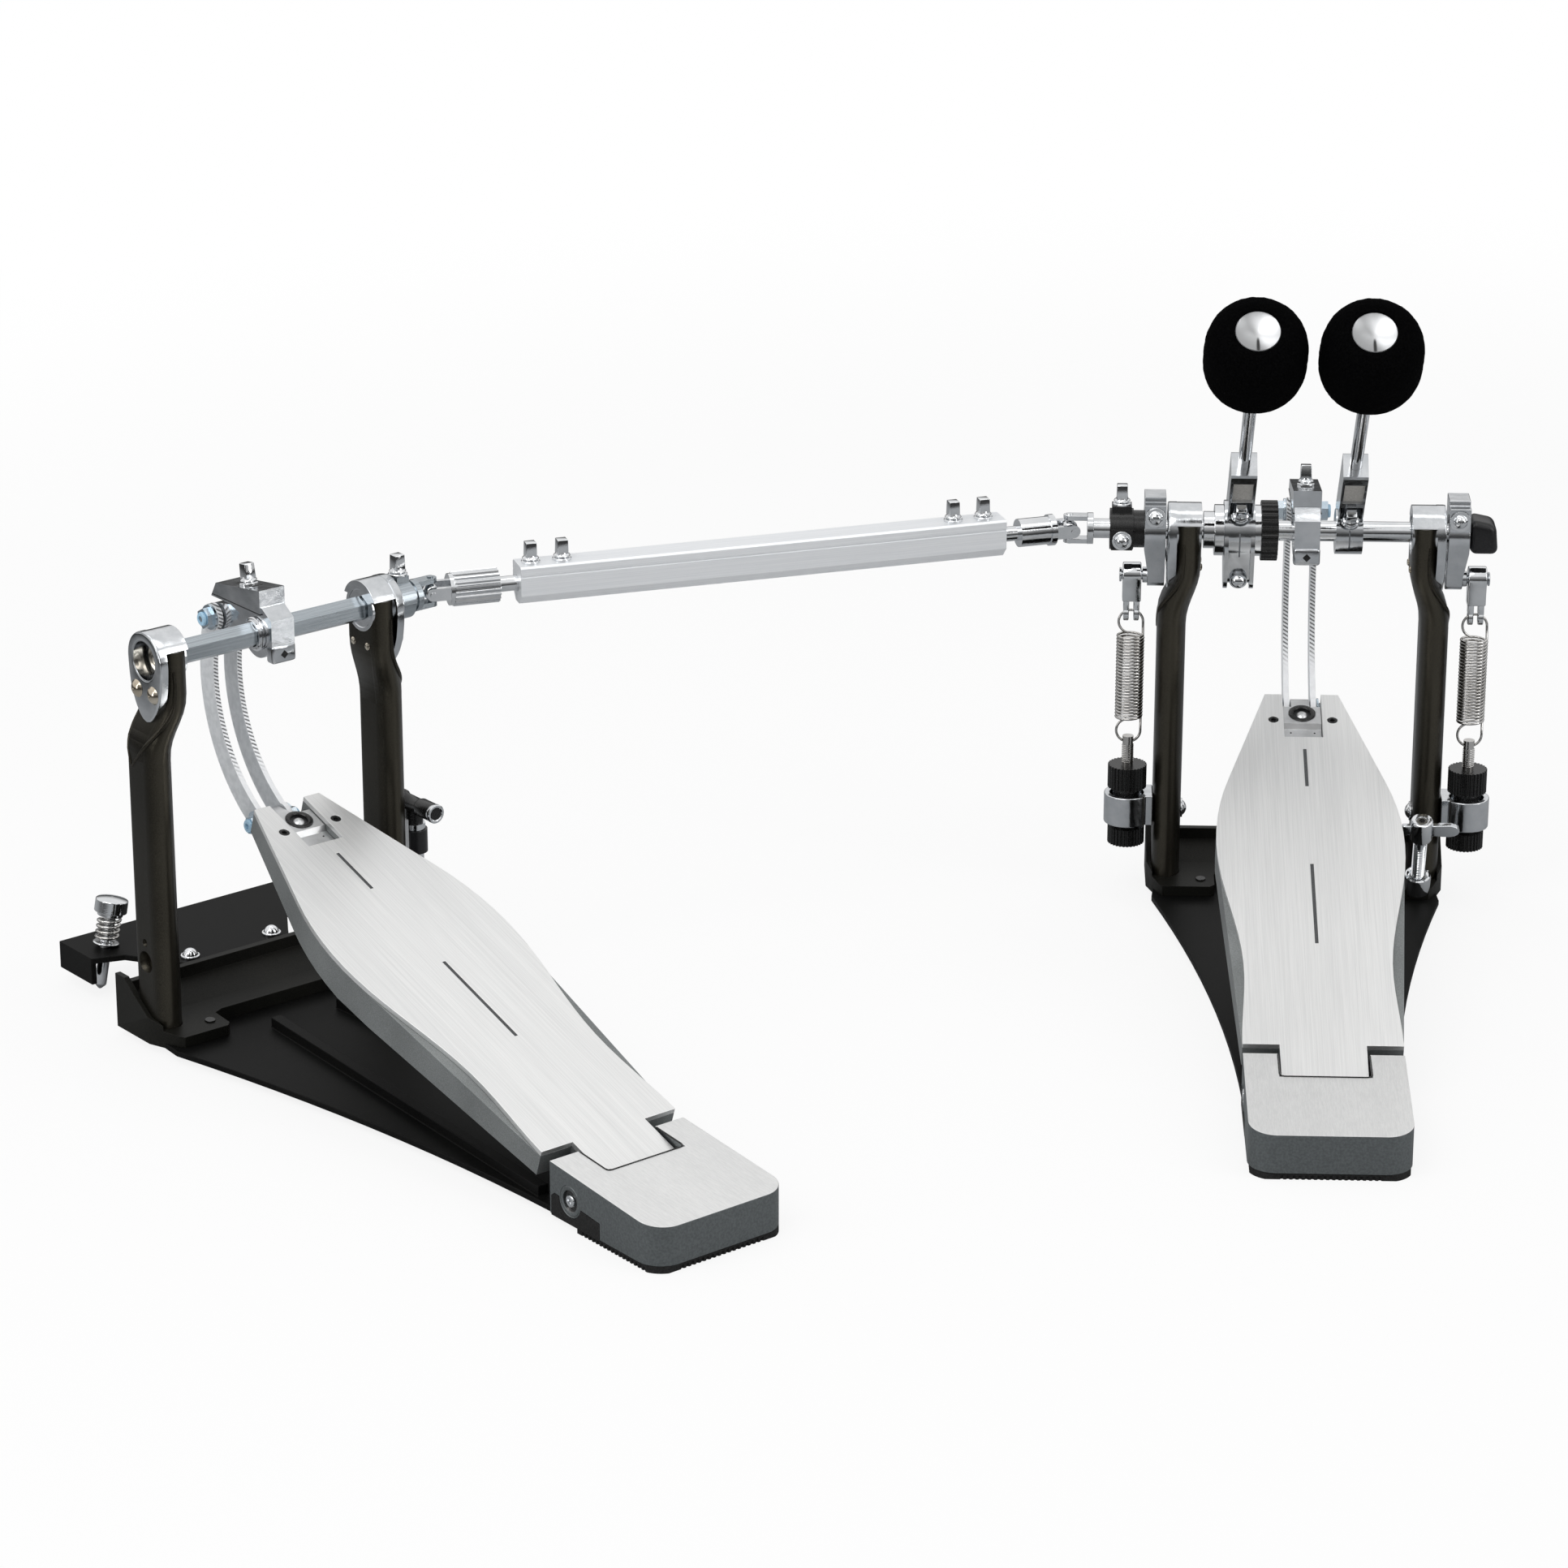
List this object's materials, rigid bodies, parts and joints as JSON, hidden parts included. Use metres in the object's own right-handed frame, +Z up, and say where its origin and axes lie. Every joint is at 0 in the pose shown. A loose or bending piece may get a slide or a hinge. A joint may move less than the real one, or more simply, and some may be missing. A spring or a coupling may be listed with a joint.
{
  "type": "double bass drum pedal",
  "caption": "Double bass drum pedal with two sprung beaters on split shafts, curved direct-drive links, and a second footboard joined by a telescopic shaft with two universal joints.",
  "frame": {"origin": "on the floor under the middle of the main shaft", "axes": "+X along the main shaft to the right, +Y towards the drum, +Z up"},
  "size_m": [0.7198, 0.5209, 0.3511],
  "materials": {
    "casting": "satin dark powder coat",
    "posts": "dark bronze anodised, semi-gloss",
    "plate": "black powder coat",
    "pale": "brushed, clear anodised",
    "casting_grey": "satin grey",
    "chrome": "polished",
    "nickel": "satin nickel",
    "steel": "satin",
    "black_metal": "black, semi-gloss",
    "felt": "flocked",
    "rubber": "matt",
    "black_plastic": "matt"
  },
  "bodies": {
    "main_frame": {"main_base_plate": "plate", "main_crossbar": "casting", "main_posts": "posts", "main_housings": "nickel", "main_heel_block": "pale", "main_hinge_pin": "steel", "main_rubber_feet": "rubber", "spring_brackets": "nickel", "main_screws": "chrome"},
    "right_shaft": {"main_shaft": "chrome", "main_cam": "nickel", "right_beater_hub": "nickel", "right_spring_cam": "nickel", "shaft_end_cap": "black_plastic", "right_clamp_screws": "chrome"},
    "right_beater": {"right_beater_rod": "chrome", "right_beater_head": "felt"},
    "left_shaft": {"left_axle": "chrome", "left_beater_hub": "nickel", "left_lock_ring": "black_metal", "left_spring_cam": "nickel", "left_collar": "black_metal", "left_clamp_screws": "chrome"},
    "left_beater": {"left_beater_rod": "chrome", "left_beater_head": "felt"},
    "main_board": {"main_footboard": "casting_grey", "main_tread_plate": "pale", "main_toe_hinge": "steel"},
    "main_link": {"main_link_plates": "steel"},
    "right_swing": {"right_swing_link": "nickel"},
    "left_swing": {"left_swing_link": "nickel"},
    "right_tension": {"right_tension_rod": "black_metal"},
    "left_tension": {"left_tension_rod": "black_metal"},
    "right_coil": {"right_spring": "chrome"},
    "left_coil": {"left_spring": "chrome"},
    "telescope_tube": {"link_tube": "pale", "tube_screws": "chrome", "main_link_fork": "chrome"},
    "telescope_rod": {"slave_link_fork": "chrome"},
    "clamp_jaw": {"hoop_jaw": "plate"},
    "clamp_bolt": {"hoop_bolt": "chrome"},
    "slave_frame": {"slave_base_plate": "plate", "slave_crossbar": "casting", "slave_posts": "posts", "slave_housings": "nickel", "slave_heel_block": "pale", "slave_hinge_pin": "steel", "slave_rubber_feet": "rubber", "slave_screws": "chrome", "stabiliser_plate": "plate", "key_holder": "steel"},
    "slave_axle": {"slave_shaft": "steel", "slave_cam": "nickel"},
    "slave_board": {"slave_footboard": "casting_grey", "slave_tread_plate": "pale", "slave_toe_hinge": "steel"},
    "slave_link": {"slave_link_plates": "steel"},
    "spur": {"spur_bolt": "chrome", "spur_spring": "steel"},
    "key": {"drum_key": "black_metal"}
  },
  "joints": [
    {"name": "right_shaft_turn", "type": "hinge", "parent": "main_frame", "child": "right_shaft", "pos_m": [0, 0, 0.199], "axis": [-1, 0, 0], "range_deg": [-6, 50], "stiffness_Nm_per_rad": 1.6, "springref_deg": -2.69},
    {"name": "left_shaft_turn", "type": "hinge", "parent": "main_frame", "child": "left_shaft", "pos_m": [-0.034, 0, 0.199], "axis": [-1, 0, 0], "range_deg": [-6, 50], "stiffness_Nm_per_rad": 1.6, "springref_deg": -2.64},
    {"name": "right_beater_height", "type": "slide", "parent": "right_shaft", "child": "right_beater", "axis": [0, -0.6947, 0.7193], "range_m": [-0.005, 0.03]},
    {"name": "left_beater_height", "type": "slide", "parent": "left_shaft", "child": "left_beater", "axis": [0, -0.6947, 0.7193], "range_m": [-0.005, 0.03]},
    {"name": "main_board_tilt", "type": "hinge", "parent": "main_frame", "child": "main_board", "pos_m": [0, -0.2887, 0.0145], "axis": [-1, 0, 0], "range_deg": [-1.3, 7.17]},
    {"name": "main_link_swing", "type": "hinge", "parent": "right_shaft", "child": "main_link", "pos_m": [0, 0.037, 0.198], "axis": [-1, 0, 0], "range_deg": [-63.7, 9.4]},
    {"name": "right_spring_swing", "type": "hinge", "parent": "right_shaft", "child": "right_swing", "pos_m": [0.0875, 0, 0.1745], "axis": [-1, 0, 0], "range_deg": [-60, 8.96]},
    {"name": "left_spring_swing", "type": "hinge", "parent": "left_shaft", "child": "left_swing", "pos_m": [-0.0875, 0, 0.1745], "axis": [-1, 0, 0], "range_deg": [-60, 8.96]},
    {"name": "right_rod_tilt", "type": "hinge", "parent": "main_frame", "child": "right_tension", "pos_m": [0.0875, 0, 0.0485], "axis": [-1, 0, 0], "range_deg": [-8.5, 1.46]},
    {"name": "right_spring_stretch", "type": "slide", "parent": "right_swing", "child": "right_coil", "axis": [0, 0, -1], "range_m": [-0.002, 0.012], "deforming": ["right_spring"]},
    {"name": "left_rod_tilt", "type": "hinge", "parent": "main_frame", "child": "left_tension", "pos_m": [-0.0875, 0, 0.0485], "axis": [-1, 0, 0], "range_deg": [-8.5, 1.46]},
    {"name": "left_spring_stretch", "type": "slide", "parent": "left_swing", "child": "left_coil", "axis": [0, 0, -1], "range_m": [-0.002, 0.012], "deforming": ["left_spring"]},
    {"name": "telescope_turn", "type": "hinge", "parent": "main_frame", "child": "telescope_tube", "pos_m": [-0.1197, 0, 0.199], "axis": [-0.9403, -0.3404, 0], "range_deg": [-7, 51]},
    {"name": "telescope_slide", "type": "slide", "parent": "main_frame", "child": "slave_frame", "axis": [-0.9403, -0.3404, 0], "range_m": [-0.009, 0.06]},
    {"name": "telescope_rod_turn", "type": "hinge", "parent": "slave_frame", "child": "telescope_rod", "pos_m": [-0.43376, -0.11369, 0.199], "axis": [-0.9403, -0.3404, 0], "range_deg": [-7, 51]},
    {"name": "slave_shaft_turn", "type": "hinge", "parent": "slave_frame", "child": "slave_axle", "pos_m": [-0.50529, -0.1762, 0.199], "axis": [-0.753, -0.658, 0], "range_deg": [-7, 51]},
    {"name": "slave_board_tilt", "type": "hinge", "parent": "slave_frame", "child": "slave_board", "pos_m": [-0.31532, -0.39359, 0.0145], "axis": [-0.753, -0.658, 0], "range_deg": [-1.3, 7.17]},
    {"name": "slave_link_swing", "type": "hinge", "parent": "slave_axle", "child": "slave_link", "pos_m": [-0.52964, -0.14834, 0.198], "axis": [-0.753, -0.658, 0], "range_deg": [-63.7, 9.4]},
    {"name": "clamp_bolt_turn", "type": "hinge", "parent": "main_frame", "child": "clamp_bolt", "pos_m": [0.06255, -0.016, 0.011], "axis": [0, -0.342, 0.9397], "range_deg": [-30, 180]},
    {"name": "clamp_jaw_tilt", "type": "hinge", "parent": "main_frame", "child": "clamp_jaw", "pos_m": [0, 0.036, 0.024], "axis": [-1, 0, 0], "range_deg": [-5, 24]},
    {"name": "spur_turn", "type": "hinge", "parent": "slave_frame", "child": "spur", "pos_m": [-0.59991, -0.14999, 0], "axis": [0.1566, 0.1368, 0.9781], "range_deg": [-180, 180]},
    {"name": "key_pull", "type": "slide", "parent": "slave_frame", "child": "key", "axis": [0, 0, 1], "range_m": [0, 0.03]}
  ],
  "couplings": [
    {"joint": "main_board_tilt", "follows": "right_shaft_turn", "ratio": 0.1335},
    {"joint": "main_link_swing", "follows": "right_shaft_turn", "ratio": -1.234},
    {"joint": "right_spring_swing", "follows": "right_shaft_turn", "ratio": -1.16},
    {"joint": "right_rod_tilt", "follows": "right_shaft_turn", "ratio": -0.16},
    {"joint": "left_spring_swing", "follows": "left_shaft_turn", "ratio": -1.16},
    {"joint": "left_rod_tilt", "follows": "left_shaft_turn", "ratio": -0.16},
    {"joint": "right_spring_stretch", "follows": "right_shaft_turn", "m_per_rad": 0.01152},
    {"joint": "left_spring_stretch", "follows": "left_shaft_turn", "m_per_rad": 0.01152},
    {"joint": "telescope_turn", "follows": "left_shaft_turn", "ratio": 1},
    {"joint": "telescope_rod_turn", "follows": "left_shaft_turn", "ratio": 1},
    {"joint": "slave_shaft_turn", "follows": "left_shaft_turn", "ratio": 1},
    {"joint": "slave_board_tilt", "follows": "left_shaft_turn", "ratio": 0.1335},
    {"joint": "slave_link_swing", "follows": "left_shaft_turn", "ratio": -1.234},
    {"joint": "clamp_jaw_tilt", "follows": "clamp_bolt_turn", "ratio": 0.12}
  ]
}
